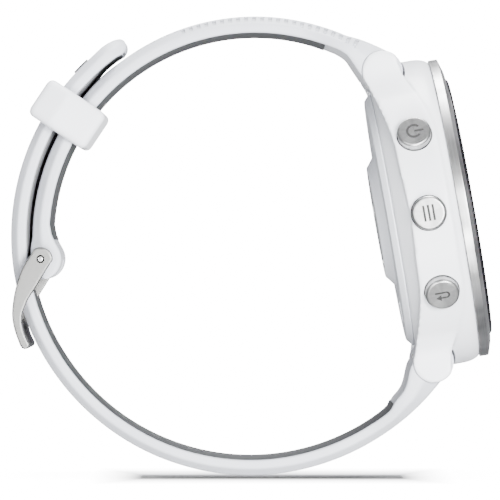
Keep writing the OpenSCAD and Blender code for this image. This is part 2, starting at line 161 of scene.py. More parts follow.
def turned(profile, steps=128, closed=True):  # (radius, height) points spun about Z
    bm = bmesh.new()
    points = [bm.verts.new((radius, 0, height)) for radius, height in profile]
    pairs = list(zip(points, points[1:])) + ([(points[-1], points[0])] if closed else [])
    edges = [bm.edges.new(pair) for pair in pairs]
    bmesh.ops.spin(bm, geom=points + edges, cent=(0, 0, 0), axis=(0, 0, 1), angle=2 * pi,
                   steps=steps, use_merge=True)
    bmesh.ops.remove_doubles(bm, verts=bm.verts, dist=0.0001)
    bmesh.ops.recalc_face_normals(bm, faces=bm.faces)
    return bm


def slab(outline, low, high):  # an outline in X and Y, raised from low to high
    bm = bmesh.new()
    face = bm.faces.new([bm.verts.new((x, y, low)) for x, y in outline])
    raised = bmesh.ops.extrude_face_region(bm, geom=[face])["geom"]
    bmesh.ops.translate(bm, vec=(0, 0, high - low),
                        verts=[item for item in raised if isinstance(item, bmesh.types.BMVert)])
    bmesh.ops.recalc_face_normals(bm, faces=bm.faces)
    return bm


def rod(radius, low, high, segments=48, matrix=Matrix()):
    bm = bmesh.new()
    bmesh.ops.create_cone(bm, cap_ends=True, segments=segments, radius1=radius, radius2=radius,
                          depth=high - low,
                          matrix=matrix @ Matrix.Translation((0, 0, (low + high) / 2)))
    return bm


def block(low, high, matrix=Matrix()):
    bm = bmesh.new()
    size = Vector(high) - Vector(low)
    bmesh.ops.create_cube(bm, size=1, matrix=matrix @ Matrix.Translation(Vector(low) + size / 2)
                          @ Matrix.Diagonal((*size, 1)))
    return bm


def soften(bm, width, segments=3, chosen=None):
    edges = [edge for edge in bm.edges if len(edge.link_faces) == 2
             and edge.calc_face_angle(0) > radians(40) and (chosen is None or chosen(edge))]
    bmesh.ops.bevel(bm, geom=edges, offset=width, offset_type="OFFSET", segments=segments,
                    profile=0.5, affect="EDGES", material=-1, clamp_overlap=True)
    return bm


def smoothed(bm, steps):
    for step in range(steps):
        bmesh.ops.smooth_vert(bm, verts=bm.verts, factor=0.5, use_axis_x=True, use_axis_y=True,
                              use_axis_z=True)
    return bm


def finishPiece(name, bm, place, finish, body="watch", stands=(), sharp=38):
    local = bm.verts.layers.float_vector.new("local")  # the piece's own millimetres
    for vert in bm.verts:
        vert[local] = vert.co
    for face in bm.faces:
        face.smooth = True
    for edge in bm.edges:
        if len(edge.link_faces) == 2:
            edge.smooth = edge.calc_face_angle(0) < radians(sharp)
    moved(bm, place)
    piece = asObject(bm, name)
    piece.data.materials.append(finish)
    shading = piece.modifiers.new("shading", "WEIGHTED_NORMAL")
    shading.keep_sharp = True
    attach(piece, body)
    if stands:
        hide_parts(*stands)
    return piece


# ---- finishes ----
# A socket of a material's nodes; sums on it add Math nodes
class Wire:
    def __init__(self, finish, socket):
        self.finish = finish
        self.socket = socket

    def __add__(self, other):
        return self.finish.math("ADD", self, other)

    def __radd__(self, other):
        return self.finish.math("ADD", other, self)

    def __sub__(self, other):
        return self.finish.math("SUBTRACT", self, other)

    def __rsub__(self, other):
        return self.finish.math("SUBTRACT", other, self)

    def __mul__(self, other):
        return self.finish.math("MULTIPLY", self, other)

    def __rmul__(self, other):
        return self.finish.math("MULTIPLY", other, self)

    def __truediv__(self, other):
        return self.finish.math("DIVIDE", self, other)

    def __pow__(self, other):
        return self.finish.math("POWER", self, other)

    def __gt__(self, other):
        return self.finish.math("GREATER_THAN", self, other)

    def __lt__(self, other):
        return self.finish.math("LESS_THAN", self, other)

    def __abs__(self):
        return self.finish.math("ABSOLUTE", self)

    def fraction(self):
        return self.finish.math("FRACT", self)

    def larger(self, other):
        return self.finish.math("MAXIMUM", self, other)

    def smaller(self, other):
        return self.finish.math("MINIMUM", self, other)

    def between(self, low, high):
        return (self > low) * (self < high)


class Finish:
    def __init__(self, name, **constants):
        self.material = bpy.data.materials.new(name)
        self.material.use_nodes = True
        self.tree = self.material.node_tree
        self.shader = next(node for node in self.tree.nodes if node.type == "BSDF_PRINCIPLED")
        for key, value in constants.items():
            self.feed(self.shader.inputs[key.replace("_", " ")], value)

    def feed(self, socket, value):
        if isinstance(value, Wire):
            self.tree.links.new(value.socket, socket)
        elif socket.type == "RGBA" and len(value) == 3:
            socket.default_value = (*value, 1)
        else:
            socket.default_value = value

    def add(self, kind, settings=None, inputs=None, output=0):
        node = self.tree.nodes.new("ShaderNode" + kind)
        for key, value in (settings or {}).items():
            if key == "stops":
                for stop, (position, colour) in zip(node.color_ramp.elements, value):
                    stop.position = position
                    stop.color = (*colour, 1)
            else:
                setattr(node, key, value)
        for key, value in (inputs or {}).items():
            self.feed(node.inputs[key], value)
        return Wire(self, node.outputs[output])

    def math(self, operation, first, second=0.0):
        return self.add("Math", {"operation": operation}, {0: first, 1: second})

    def turn(self, x, y):  # the angle about Z
        return self.math("ARCTAN2", y, x)

    def where(self):  # object coordinates in millimetres
        return self.add("Mapping", None, {"Vector": self.add("TexCoord", None, None, "Object"),
                                          "Scale": (1000, 1000, 1000)})

    def local(self):  # the piece's own millimetres
        return self.add("Attribute", {"attribute_name": "local"}, None, "Vector")

    def parts(self, vector):
        node = self.add("SeparateXYZ", None, {0: vector}).socket.node
        return [Wire(self, output) for output in node.outputs]

    def join(self, x, y, z):
        return self.add("CombineXYZ", None, {0: x, 1: y, 2: z})

    def noise(self, vector, scale, detail=2.0, roughness=0.5):
        return self.add("TexNoise", None, {"Vector": vector, "Scale": scale, "Detail": detail,
                                           "Roughness": roughness})

    def blend(self, mask, first, second):
        return self.add("Mix", {"data_type": "RGBA"}, {0: mask, 6: first, 7: second}, 2)

    def bump(self, height, distance, strength=1.0):  # distance in millimetres
        self.feed(self.shader.inputs["Normal"],
                  self.add("Bump", None, {"Height": height, "Strength": strength,
                                          "Distance": distance / 1000}))

    def set(self, **values):
        for key, value in values.items():
            self.feed(self.shader.inputs[key.replace("_", " ")], value)


def mouldedFinish(name, colour, shade, roughness, grain, depth, pitShadeColour=None, **constants):
    finish = Finish(name, **constants)
    where = finish.where()
    cloud = finish.noise(where, 0.22, 3.0)
    pores = finish.noise(where, grain, 3.0, 0.6)
    base = finish.blend(cloud * 0.7 + pores * 0.3, colour, shade)
    if pitShadeColour:
        # painted shade: the pits' bottoms take a darker colour
        pit = finish.add("Attribute", {"attribute_name": "pit"}, None, "Fac")
        base = finish.blend(pit, base, pitShadeColour)
    finish.set(Base_Color=base,
               Roughness=roughness + (pores - 0.5) * 0.12 + (cloud - 0.5) * 0.08)
    finish.bump(pores, depth)
    return finish.material


def brushedFinish(name, light, dark, roughness, reflectionBands=2.2, **constants):
    # Lines run round the piece's own Z axis; slow bands of light and dark tone along them are a
    # painted reflection in the base colour
    finish = Finish(name, Metallic=1.0, **constants)
    x, y, z = finish.parts(finish.local())
    radius = (x * x + y * y) ** 0.5
    lines = finish.noise(finish.join(radius * 9, z * 9, finish.turn(x, y) * 1.5), 1.6, 3.0, 0.7)
    turnX, turnY = x / (radius + 0.01), y / (radius + 0.01)
    paintedReflection = finish.noise(finish.join(turnX * reflectionBands, turnY * reflectionBands, z * 0.05), 1.4, 2.0, 0.6)
    # base colour: the painted reflection bands, with the brushed lines' grain
    ramp = finish.add("ValToRGB", {"stops": [(0.36, dark), (0.62, light)]},
                      {"Fac": paintedReflection * 0.8 + lines * 0.2})
    finish.set(Base_Color=ramp, Roughness=roughness + (lines - 0.5) * 0.22)
    finish.bump(lines, 0.006, 0.5)
    return finish.material


def blastedFinish(name, light, dark, roughness, metallic=1.0):
    finish = Finish(name, Metallic=metallic)
    where = finish.where()
    grit = finish.noise(where, 9, 2.0, 0.7)
    wear = finish.noise(where, 0.5, 3.0)
    finish.set(Base_Color=finish.blend(grit * 0.5 + wear * 0.5, dark, light),
               Roughness=roughness + (grit - 0.5) * 0.2)
    finish.bump(grit, 0.004, 0.6)
    return finish.material


def glassFinish():
    # Gloss black glass with a plain watch face lit under it
    face = {"ring": (11.2, 11.9), "filled": 0.18, "ticks": 18.6, "hour": 50, "minute": 305,
            "hub": 1.3, "front": 2.3, "flat": 2.52}
    finish = Finish("dialGlass", Base_Color=(0.004, 0.004, 0.005), Specular_IOR_Level=0.15,
                    Coat_Roughness=0.03, Emission_Strength=0.9)
    x, y, z = finish.parts(finish.local())
    radius = (x * x + y * y) ** 0.5
    turn = finish.turn(x, y) / (2 * pi)
    minutes = abs((turn * 60 + 0.5).fraction() - 0.5)
    hours = abs((turn * 12 + 0.5).fraction() - 0.5)
    ticks = (minutes < 0.10) * radius.between(face["ticks"] - 0.9, face["ticks"] - 0.2)
    marks = (hours < 0.045) * radius.between(face["ticks"] - 2.0, face["ticks"] - 0.2)
    hands = None
    for angle, length, width in ((face["hour"], 8.5, 0.75), (face["minute"], 13.5, 0.5)):
        sine, cosine = sin(radians(angle)), cos(radians(angle))
        along, side = x * sine + y * cosine, abs(x * cosine - y * sine)
        hand = along.between(-1.5, length) * (side < width)
        hands = hand if hands is None else hands.larger(hand)
    hub = radius < face["hub"]
    track = radius.between(*face["ring"]) * turn.between(-0.5, face["filled"])
    rest = radius.between(*face["ring"]) * 0.12
    front = z > face["front"]
    white = ticks.larger(marks).larger(hands.larger(hub))
    lit = finish.blend(track, finish.blend(rest, (0, 0, 0), (0.5, 0.6, 0.7)), (0.02, 0.62, 0.9))
    lit = finish.blend(white, lit, (0.85, 0.87, 0.9))
    finish.set(Emission_Color=finish.blend(front, (0, 0, 0), lit),
               Coat_Weight=z > face["flat"],
               Roughness=0.3 + finish.noise(finish.local(), 0.4, 3.0) * 0.1)
    return finish.material


def windowFinish():
    # Dark sensor glass: a ring of faint lamp windows round a centre window
    finish = Finish("sensorGlass", Coat_Weight=1.0, Coat_Roughness=0.03)
    x, y, z = finish.parts(finish.local())
    radius = (x * x + y * y) ** 0.5
    sector = abs((finish.turn(x, y) / (2 * pi) * 6 + 0.5).fraction() - 0.5)
    lamps = radius.between(3.9, 5.9) * (sector < 0.16)
    centre = (abs(x) < 1.3) * (abs(y) < 1.3)
    shown = lamps.larger(centre)
    rim = radius > 7.1
    dark = finish.blend(shown, (0.008, 0.008, 0.01), (0.03, 0.045, 0.035))
    finish.set(Base_Color=finish.blend(rim, dark, (0.02, 0.02, 0.022)),
               Roughness=0.06 + shown * 0.14)
    return finish.material


def boardFinish():
    finish = Finish("boardGreen")
    x, y, z = finish.parts(finish.where())
    tracks = finish.noise(finish.join(x * 0.4, y * 3, z * 3), 1.4, 1.0)
    pads = finish.add("TexVoronoi", None, {"Vector": finish.where(), "Scale": 0.8}, "Distance")
    base = finish.blend(tracks > 0.52, (0.008, 0.06, 0.028), (0.015, 0.11, 0.05))
    finish.set(Base_Color=finish.blend(pads < 0.18, base, (0.7, 0.5, 0.2)),
               Roughness=0.35 + tracks * 0.2)
    return finish.material


def foilFinish():
    finish = Finish("batteryFoil", Metallic=0.7)
    folds = finish.noise(finish.where(), 0.35, 4.0)
    finish.set(Base_Color=finish.blend(folds, (0.5, 0.5, 0.52), (0.75, 0.75, 0.77)),
               Roughness=0.28 + folds * 0.2)
    finish.bump(folds, 0.03)
    return finish.material


softSheen = {"Sheen_Weight": 0.15, "Sheen_Roughness": 0.5}
finishes = {
    "whiteBody": mouldedFinish("whitePolymer", (0.86, 0.87, 0.90), (0.80, 0.82, 0.86), 0.36, 5,
                               0.006, Specular_IOR_Level=0.45),
    "whiteBack": mouldedFinish("backPolymer", (0.78, 0.80, 0.84), (0.72, 0.74, 0.79), 0.42, 5,
                               0.006),
    # painted shade: both strap halves use the keeper loop's white silicone, made darker all over
    "whiteStrapPaintedShade": mouldedFinish("strapSiliconePaintedShade", (0.6, 0.615, 0.66), (0.54, 0.56, 0.61), 0.5, 7,
                                0.008, **softSheen),
    "whiteLoop": mouldedFinish("loopSilicone", (0.84, 0.855, 0.89), (0.78, 0.80, 0.85), 0.5, 7,
                               0.008, **softSheen),
    # the last colour is painted shade for the pits' bottoms
    "dimpledStrapPaintedShade": mouldedFinish("dimpledSiliconePaintedShade", (0.6, 0.615, 0.66), (0.54, 0.56, 0.61), 0.5,
                                  7, 0.008, (0.3, 0.31, 0.34), **softSheen),
    "greyLiner": mouldedFinish("linerSilicone", (0.06, 0.063, 0.066), (0.04, 0.042, 0.045), 0.55, 6,
                               0.01),
    "blackRubber": mouldedFinish("blackRubber", (0.02, 0.02, 0.02), (0.035, 0.035, 0.035), 0.6, 6,
                                 0.01),
    "chassisPlastic": mouldedFinish("chassisPlastic", (0.09, 0.09, 0.10), (0.06, 0.06, 0.07), 0.5,
                                    5, 0.008),
    "chipBlack": mouldedFinish("chipBlack", (0.015, 0.015, 0.017), (0.03, 0.03, 0.03), 0.45, 9,
                               0.004),
    "amberFlex": mouldedFinish("amberFlex", (0.55, 0.22, 0.03), (0.42, 0.16, 0.02), 0.35, 3,
                               0.004),
    "displayBlack": mouldedFinish("displayBlack", (0.01, 0.01, 0.012), (0.02, 0.02, 0.02), 0.2, 4,
                                  0.001),
    "brushedBezel": brushedFinish("bezelMetal", (0.64, 0.64, 0.64), (0.18, 0.18, 0.18), 0.36),
    "brushedButton": brushedFinish("buttonMetal", (0.48, 0.48, 0.475), (0.3, 0.3, 0.3), 0.36,
                                   0.8),
    "buckleMetal": blastedFinish("buckleMetal", (0.19, 0.19, 0.184), (0.14, 0.14, 0.136), 0.45),
    "steel": blastedFinish("steel", (0.62, 0.62, 0.62), (0.5, 0.5, 0.5), 0.28),
    "gold": blastedFinish("gold", (0.95, 0.68, 0.28), (0.8, 0.55, 0.2), 0.25),
    "darkMark": blastedFinish("darkMark", (0.02, 0.02, 0.02), (0.012, 0.012, 0.012), 0.7, 0),
    "glass": glassFinish(),
    "sensorGlass": windowFinish(),
    "board": boardFinish(),
    "foil": foilFinish(),
}
print("finishes made:", len(finishes))

# ---- case ----
case = {
    "radius": 24.3, "wall": 24.08, "back": 9.85, "hollow": 18.2, "frontHollow": 20.9,
    "lugReach": 22.9, "lugDepth": 7.6, "lugRadius": 3.2, "lugInner": 11, "lugOuter": 13.5,
    "voxel": 0.27, "smoothing": 4, "buttonDepth": 4.7, "buttonHole": 2.78, "buttonFloor": 21.6,
    "buttonAngles": {"light": 150, "menu": 180, "down": 210, "start": 30, "lap": -30},
    "bosses": [45, 135, 225, 315], "screwReach": 16.6,
}
wallProfile = eased([(17.6, 0), (23.35, 0), (23.95, -1.3), (case["wall"], -2.5),
                     (case["wall"], -6.9), (23.5, -7.7), (20.2, -case["back"]),
                     (17.6, -case["back"])], 0.4)
# Planform of the band with its two lugs on the three o'clock side
planform = (roundArc((0, 0), case["radius"], -50, 50, 40)
            + flowing([(15.1, 19.2), (14.1, 20.7), (13.6, 22.2), (13.5, 23.8), (13.5, 27)], 6)
            + [(case["lugInner"], 27), (case["lugInner"], 18.6)]
            + roundArc((0, 0), 21.2, 55, -55, 30)
            + [(case["lugInner"], -18.6), (case["lugInner"], -27)]
            + flowing([(13.5, -27), (13.5, -23.8), (13.6, -22.2), (14.1, -20.7), (15.1, -19.2)],
                      6))
tipStart = roundArc((case["lugReach"], -case["lugDepth"]), case["lugRadius"], 52, -122, 22)
frontEdge = flowing([(0, -1.2), (10.8, -1.3), (13.5, -1.5), (15.4, -1.95), (17.5, -2.7),
                     (20, -3.8), (22.1, -4.7), tipStart[0]], 4)
rearEdge = flowing([tipStart[-1], (19.8, -9.9), (15.7, -8.8), (11.8, -8.1), (7.5, -7.9),
                    (0, -7.5)], 5)
halfSide = frontEdge[:-1] + tipStart + rearEdge[1:]
sideView = halfSide + [(-y, z) for y, z in reversed(halfSide[1:-1])]


def lugRods(radius, reach):  # rods on both spring bars' axes
    return together(*[rod(radius, -reach, reach, 64, Matrix.Translation(
        (0, side * case["lugReach"], -case["lugDepth"])) @ Matrix.Rotation(pi / 2, 4, "Y"))
        for side in (-1, 1)])


def buttonRods(radius, low, high):
    return together(*[rod(radius, low, high, 64, Matrix.Rotation(radians(angle), 4, "Z")
                          @ Matrix.Translation((0, 0, -case["buttonDepth"]))
                          @ Matrix.Rotation(pi / 2, 4, "Y"))
                      for angle in case["buttonAngles"].values()])


band = together(slab(planform, -12, 0.5), slab([(-x, y) for x, y in reversed(planform)], -12, 0.5))
sideCutter = moved(slab(sideView, -30, 30), Matrix(((0, 0, 1, 0), (1, 0, 0, 0), (0, 1, 0, 0),
                                                    (0, 0, 0, 1))))
band = combine(band, sideCutter, "INTERSECT")
body = applied(together(turned(wallProfile, 160), band), "REMESH", mode="VOXEL",
               voxel_size=case["voxel"])
smoothed(body, case["smoothing"])
body = combine(body, together(rod(case["hollow"], -12, -2.5, 128),
                              rod(case["frontHollow"], -3.2, 2, 128)))
body = combine(body, lugRods(case["lugRadius"] + 0.4, case["lugInner"]))
body = combine(body, lugRods(0.55, case["lugInner"] + 1.2))
body = combine(body, buttonRods(case["buttonHole"], case["buttonFloor"], 27))
body = combine(body, buttonRods(0.9, 17, 22.4))
finishPiece("caseBody", body, dialPlace, finishes["whiteBody"],
            stands=["case"], sharp=45)
print("case done")

# ---- bezel and glass ----
bezelProfile = eased([(19.4, 0), (23.55, 0), (23.55, 1.37), (21.6, 1.97), (20.4, 1.97),
                      (20.4, 0.3), (19.4, 0.3)], 0.12, 2)
finishPiece("bezelRing", turned(bezelProfile, 192), dialPlace, finishes["brushedBezel"],
            stands=["bezel"], sharp=30)
glassProfile = [(0, 0.6)] + eased([(20.3, 0.6), (20.3, 2.2), (19.96, 2.5)], 0.08, 2) + [
    (19, 2.53), (12, 2.57), (0, 2.6)]
finishPiece("dialGlass", turned(glassProfile, 160, False), dialPlace, finishes["glass"],
            stands=["lens"])

# ---- back ----
back = {"screwHead": 1.35, "screwHole": 0.75, "contact": 0.55, "contactGap": 1.8,
        "contactRow": -14.6, "portFloor": -10.4}
coverProfile = eased([(7.3, -9.3), (17.3, -9.3), (17.3, -9.86), (20, -9.86), (19.95, -10.1),
                      (19, -10.94), (10.55, -10.94), (9.0, -12.1), (8.7, -12.39), (7.9, -12.39),
                      (7.9, -11.6), (7.3, -11.6)], 0.2, 3)
cover = turned(coverProfile, 128)
screwSpots = [Matrix.Rotation(radians(angle), 4, "Z")
              @ Matrix.Translation((case["screwReach"], 0, 0)) for angle in case["bosses"]]
cover = combine(cover, together(*[rod(back["screwHead"], -12, -10.25, 40, spot)
                                  for spot in screwSpots]))
cover = combine(cover, together(*[rod(back["screwHole"], -12, -8, 32, spot)
                                  for spot in screwSpots]))
port = eased([(-4.2, -16.3), (4.2, -16.3), (4.2, -12.9), (-4.2, -12.9)], 0.5, 4)
cover = combine(cover, slab(port, -12, back["portFloor"]))
cover = combine(cover, together(*[rod(back["contact"], -11, -8, 32, Matrix.Translation(
    ((i - 1.5) * back["contactGap"], back["contactRow"], 0))) for i in range(4)]))
finishPiece("backCover", cover, dialPlace, finishes["whiteBack"],
            stands=["back_cover"])
windowProfile = [(0, -11.61)] + eased([(7.82, -11.61), (7.82, -12.3), (7.7, -12.38)], 0.1, 2) + [
    (0, -12.39)]
finishPiece("sensorLens", turned(windowProfile, 96, False), dialPlace, finishes["sensorGlass"],
            stands=["sensor_window"])
print("front and back done")

# ---- buttons ----
button = {"radius": 2.62, "face": 25.6, "edge": 0.26, "floor": 22.5}
inlay = (-0.06, 0.012)  # a mark's depth in the button's face and its height over it
headProfile = [(0, 17.25), (0.8, 17.25), (0.8, 17.7), (0.6, 17.7), (0.6, 18), (0.8, 18),
               (0.8, button["floor"]), (button["radius"] - 0.1, button["floor"]),
               (button["radius"], button["floor"] + 0.1)] + eased(
    [(button["radius"], button["face"] - button["edge"] - 0.3),
     (button["radius"], button["face"] - button["edge"]),
     (button["radius"] - button["edge"], button["face"]), (2.1, button["face"])], 0.08, 2,
    False) + [(1, button["face"]), (0, button["face"])]


def strip(low, high):
    return soften(block((*low, inlay[0]), (*high, inlay[1])), 0.02, 1,
                  lambda edge: edge.verts[0].co.z > 0 and edge.verts[1].co.z > 0)


def bow(radius, width, start, end):
    outer = roundArc((0, 0), radius + width / 2, start, end, 24)
    inner = roundArc((0, 0), radius - width / 2, end, start, 24)
    return slab(outer + inner, *inlay)


marks = {
    "light": lambda: [bow(1.04, 0.34, 42, 318), strip((0.05, -0.17), (1.5, 0.17))],
    "menu": lambda: [strip((x - 0.18, -1.25), (x + 0.18, 1.25)) for x in (-0.72, 0, 0.72)],
    "down": lambda: [strip((-1.2, 0.27), (0.55, 0.57)),
                     moved(bow(0.44, 0.3, -90, 90), Matrix.Translation((0.55, -0.02, 0))),
                     strip((-0.3, -0.61), (0.55, -0.31)),
                     slab([(-0.25, 0.06), (-0.25, -0.98), (-1.1, -0.46)], *inlay)],
    "start": lambda: [slab([(-0.55, -0.75), (0.85, 0), (-0.55, 0.75)], *inlay)],
    "lap": lambda: [bow(0.85, 0.32, -150, 150)],
}
collar = turned([(button["radius"] + 0.03, 21.62), (case["buttonHole"] - 0.01, 21.62),
                 (case["buttonHole"] - 0.01, 23.35), (button["radius"] + 0.03, 23.35)], 64)
collars = []
for key, angle in case["buttonAngles"].items():
    place = buttonPlace(angle, case["buttonDepth"])
    finishPiece(key + "ButtonHead", turned(headProfile, 72, False), place,
                finishes["brushedButton"], key + "_press", [key + "_button"],
                sharp=30)
    icon = moved(together(*marks[key]()), Matrix.Translation((0, 0, button["face"])))
    finishPiece(key + "ButtonMark", icon, place, finishes["darkMark"],
                key + "_press")
    collars.append(moved(collar.copy(), dialPlace.inverted() @ place))
collar.free()
finishPiece("buttonCollars", together(*collars), dialPlace, finishes["blackRubber"],
            stands=["button_bushings"])
print("buttons done")

# ---- strap ----
strap = {
    "thick": 2.6, "liner": 0.13, "half": 11, "tailHalf": 10, "lugHalf": 13.3,
    "loop": 37.2, "upperCentre": (0.8, -0.4), "upperRadius": 34.55, "pitch": 6.5,
    "slotAngle": 195, "hole": (3.4, 2.3), "tongue": 237.3, "cell": 0.64, "dimple": 0.2,
    "flat": 0.81, "crown": 0.4, "lowerThick": 2.45, "plateFrom": 132.7, "plateTo": 137,
}
pinSpot = Matrix.Translation((pinX, pinY, 0))
upperBar = dialPoint(case["lugDepth"], case["lugReach"])
lowerBar = dialPoint(case["lugDepth"], -case["lugReach"])
upperLast = degrees(atan2(upperBar[1], upperBar[0])) - degrees(sin(3.2 / hypot(*upperBar)))
lowerLast = degrees(atan2(lowerBar[1], lowerBar[0])) + 360 + degrees(sin(3.2 / hypot(*lowerBar)))
pinLast = degrees(atan2(pinY, pinX)) % 360 + degrees(sin(3.2 / hypot(pinX, pinY)))


def polar(radius, angle):
    return (radius * cos(radians(angle)), radius * sin(radians(angle)))


def swing(points):  # points as (angle, radius) about the loop's centre
    return sorted((degrees(atan2(y, x)) % 360, hypot(x, y)) for x, y in points)


def reading(line, angle):
    if angle <= line[0][0]:
        return line[0][1]
    for (a0, r0), (a1, r1) in zip(line, line[1:]):
        if angle <= a1:
            return r0 + (r1 - r0) * (angle - a0) / max(a1 - a0, 1e-6)
    return line[-1][1]


def following(line):  # a line's radius as a function of the angle
    return lambda angle: reading(line, angle)


def smoothStep(value):
    value = min(max(value, 0), 1)
    return value * value * (3 - 2 * value)


upperOuter = swing(roundArc(strap["upperCentre"], strap["upperRadius"], 181, 68, 110)
                   + flowing([(14.9, 31.12), (17.3, 30.45), (19.8, 29.42), (21.6, 28.55)])
                   + roundArc(upperBar, 3.2, 68, upperLast - 90, 24))
upperOuter = [(angle, radius) for angle, radius in upperOuter if angle < 180]
pinOuter = [(angle, min(radius, 34.25)) for angle, radius in
            swing(roundArc((pinX, pinY), 3.2, 120, pinLast + 90, 40)) if angle > 185]
upperOuter += [(180.5, 33.8), (182.5, 34.1)] + pinOuter
upperInner = swing(roundArc(strap["upperCentre"], strap["upperRadius"] - strap["thick"], 176, 66,
                            110)
                   + flowing([(13.4, 29), (15, 28), (16, 26.6), (17, 25.1), (18.3, 23.25)])
                   + roundArc(upperBar, 3.2, 230, upperLast + 270, 20)
                   + flowing([(-31.1, 2.2), (-30.8, 0.4), (-30.3, -0.8), (-29.65, -2.0)])
                   + roundArc((pinX, pinY), 3.2, 24, pinLast - 270, 24))
lowerOuter = swing(roundArc((0, 0), strap["loop"], 134, 322, 190)
                   + roundArc(lowerBar, 3.2, -68, lowerLast - 270, 24)
                   + flowing([polar(37.22, 132.5), polar(37.28, 130.2), polar(37.38, 128),
                              polar(37.25, 125.4), polar(36.85, 123.5), polar(36.3, 122.8)], 4))
lowerInner = swing(roundArc((0, 0), strap["loop"] - strap["lowerThick"], 126.5, 308, 180)
                   + flowing([(21.8, -26.95), (22.5, -25.6), (23.7, -24.2), (24.3, -22.8),
                              (24.65, -21.1), (25.1, -19.5)])
                   + roundArc(lowerBar, 3.2, 178, lowerLast - 270, 24)
                   + [polar(34.55, 125.3), polar(34.8, 124.0), polar(35.2, 123.2),
                      polar(35.75, 122.8)])


def upperHalf(angle):
    return strap["half"] + (strap["lugHalf"] - strap["half"]) * smoothStep((76 - angle) / 15)


def lowerHalf(angle):
    half = strap["half"] + (strap["lugHalf"] - strap["half"]) * smoothStep((angle - 300) / 15)
    half -= (strap["half"] - strap["tailHalf"]) * smoothStep((252 - angle) / 24)
    tip = min(max(1 - (angle - 122.75) / 9, 0), 1)
    return half - 4.5 * (1 - sqrt(1 - 0.97 * tip ** 2))


def stopsBetween(start, end, step, easeStart, easeEnd):  # angles, closer together at round ends
    ease = [0.02, 0.1, 0.25, 0.5, 0.8, 1.2, 1.7, 2.3]
    first = [start] + [start + value for value in ease] if easeStart else [start]
    last = [end - value for value in reversed(ease)] + [end] if easeEnd else [end]
    count = round((last[0] - first[-1]) / step)
    return first + [first[-1] + (last[0] - first[-1]) * k / count for k in range(1, count)] + last


def sweep(section, stops, outer, inner, half, crown=lambda angle: 0):
    # The section's points are shares of the thickness and of the half width
    bm = bmesh.new()
    points = [bm.verts.new((30 + depth, 0, side)) for depth, side in section]
    edges = [bm.edges.new(pair) for pair in zip(points, points[1:] + points[:1])]
    steps = len(stops) - 1
    bmesh.ops.spin(bm, geom=points + edges, cent=(0, 0, 0), axis=(0, 0, 1), angle=pi / 2,
                   steps=steps, use_merge=False, use_duplicate=False)
    for vert in bm.verts:
        angle = stops[min(max(round(atan2(vert.co.y, vert.co.x) / (pi / 2) * steps), 0), steps)]
        share, side = hypot(vert.co.x, vert.co.y) - 30, vert.co.z
        low, high = inner(angle), outer(angle)
        radius = low + max(high - low, 0.06) * share
        if share > 0.999:
            radius += crown(angle) * max(1 - (side / strap["flat"]) ** 2, 0)
        vert.co = (radius * cos(radians(angle)), radius * sin(radians(angle)), side * half(angle))
    bmesh.ops.holes_fill(bm, edges=[edge for edge in bm.edges if edge.is_boundary], sides=0)
    bmesh.ops.recalc_face_normals(bm, faces=bm.faces)
    return bm


def strapSection(columns):
    side = [(0.0, 0.97), (0.03, 0.988), (0.10, 0.998), (0.2, 1.0), (0.45, 1.0), (0.54, 0.994),
            (0.61, 0.978), (0.68, 0.952), (0.94, 0.845), (1.0, strap["flat"])]
    top = [(1.0, strap["flat"] * (1 - 2 * k / columns)) for k in range(1, columns)]
    return side + top + [(depth, -width) for depth, width in reversed(side)]


def dimpleStrap(bm, stops, columns, start, end):
    # A draughtboard of small pits on the outer face, notched into its edges
    pits = []
    for face in bm.faces:
        middle = face.calc_center_median()
        if abs(face.normal.z) > 0.9 or hypot(middle.x, middle.y) < 33.4:
            continue
        angle = degrees(atan2(middle.y, middle.x)) % 360
        if not start < angle < end or len(face.verts) != 4:
            continue
        along = min(range(len(stops) - 1), key=lambda i: abs((stops[i] + stops[i + 1]) / 2 - angle))
        share = middle.z / (strap["flat"] * upperHalf(angle))
        across = round((1 - share) * columns / 2 - 0.5)
        if abs(face.normal.z) > 0.3:
            if abs(share) > 1 and along % 2 == 0:
                pits.append(face)
        elif (along + across) % 2 == 0 and abs(share) < 1:
            pits.append(face)
    bmesh.ops.inset_individual(bm, faces=pits, thickness=0.06, depth=0)
    for face in pits:
        inwards = face.normal * -strap["dimple"]
        for vert in face.verts:
            vert.co += inwards
    return bm


def shadePits(bm):  # marks the pits' bottoms, for painted shade that makes them darker than the strap
    pit = bm.verts.layers.float.new("pit")
    for vert in bm.verts:
        angle = degrees(atan2(vert.co.y, vert.co.x)) % 360
        low, high = reading(upperInner, angle), reading(upperOuter, angle)
        side = abs(vert.co.z) / upperHalf(angle)
        surface = high - max(side - strap["flat"], 0) * 1.72 * (high - low)
        sunk = surface - hypot(vert.co.x, vert.co.y)
        vert[pit] = 1.0 if 58 < angle < 122 and side < 0.86 and 0.08 < sunk < 0.4 else 0.0
    return bm


columns = 19
upperStops = stopsBetween(upperLast + 0.02, pinLast - 0.02, strap["cell"] / 34.5 * 180 / pi, True,
                          True)
upperStrap = sweep(strapSection(columns), upperStops, following(upperOuter),
                   following(upperInner), upperHalf,
                   lambda a: strap["crown"] * smoothStep((a - 122) / 10)
                   * smoothStep((184 - a) / 6))
upperStrap = dimpleStrap(upperStrap, upperStops, columns, 60, 121)
lowerStops = stopsBetween(122.8, lowerLast - 0.02, 1.5, True, True)
lowerStrap = sweep(strapSection(6), lowerStops, following(lowerOuter), following(lowerInner),
                   lowerHalf)


def lugRoom(bar, radius, start):  # clears both lugs at a strap's round end
    return together(*[rod(radius, min(side * start, side * 16), max(side * start, side * 16), 72,
                          Matrix.Translation((*bar, 0))) for side in (-1, 1)])


def strapHole(angle):
    length, width = strap["hole"]
    outline = (roundArc((0, (length - width) / 2), width / 2, 0, 180, 12)
               + roundArc((0, -(length - width) / 2), width / 2, 180, 360, 12))
    lean = Matrix.Rotation(radians(angle), 4, "Z") @ Matrix.Rotation(pi / 2, 4, "Y")
    return moved(slab(outline, 30, 42), lean)


